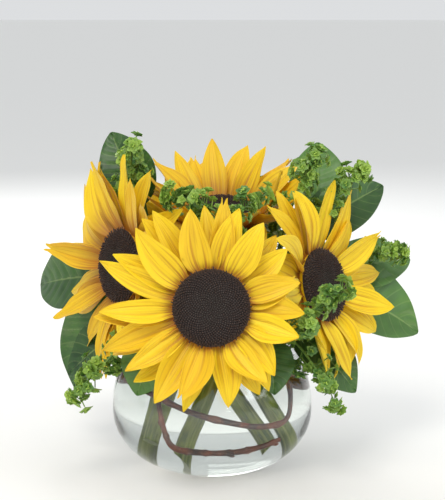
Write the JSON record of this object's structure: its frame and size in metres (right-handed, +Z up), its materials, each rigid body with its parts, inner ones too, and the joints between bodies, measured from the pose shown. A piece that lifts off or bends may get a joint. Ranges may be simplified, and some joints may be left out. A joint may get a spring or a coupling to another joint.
{
  "type": "sunflowers in a vase",
  "caption": "Cut sunflowers with broad green leaves, thoroughwax sprays and curly willow in a round clear glass bubble bowl of water.",
  "frame": {"origin": "centre of the bowl's flat foot, on the surface it stands on", "axes": "+Z up; the arrangement's front, with the foremost sunflower, looks along -Y; +X to the right seen from the front"},
  "size_m": [0.3021, 0.2237, 0.2529],
  "materials": {
    "glass": "clear, smooth blown glass",
    "water": "clear water with a level surface",
    "petals": "soft yellow petals, satin",
    "disc": "dark brown florets, rough",
    "stem": "green, finely hairy",
    "willow": "smooth red-brown bark",
    "leaf": "leathery green leaf, satin",
    "thoroughwax": "yellow-green, waxy"
  },
  "bodies": {
    "root": {"bowl": "glass", "water": "water", "willow_front": "willow", "willow_low": "willow", "front_flower_petals": "petals", "front_flower_disc": "disc", "front_flower_stem": "stem", "left_flower_petals": "petals", "left_flower_disc": "disc", "left_flower_stem": "stem", "right_flower_petals": "petals", "right_flower_disc": "disc", "right_flower_stem": "stem", "top_flower_petals": "petals", "top_flower_disc": "disc", "top_flower_stem": "stem", "back_flower_petals": "petals", "back_flower_disc": "disc", "back_flower_stem": "stem", "left_sprig": "leaf", "upper_left_sprig": "leaf", "upper_right_sprig": "leaf", "right_sprig": "leaf", "lower_right_sprig": "leaf", "lower_left_sprig": "leaf", "rim_right_sprig": "leaf", "rim_left_sprig": "leaf", "back_right_sprig": "leaf", "back_left_sprig": "leaf", "spray_upper_left": "thoroughwax", "spray_crown_left": "thoroughwax", "spray_crown_right": "thoroughwax", "spray_upper_right": "thoroughwax", "spray_far_upper_right": "thoroughwax", "spray_gap_right": "thoroughwax", "spray_far_right": "thoroughwax", "spray_low_left": "thoroughwax", "spray_low_right": "thoroughwax", "spray_back": "thoroughwax"}
  },
  "joints": []
}
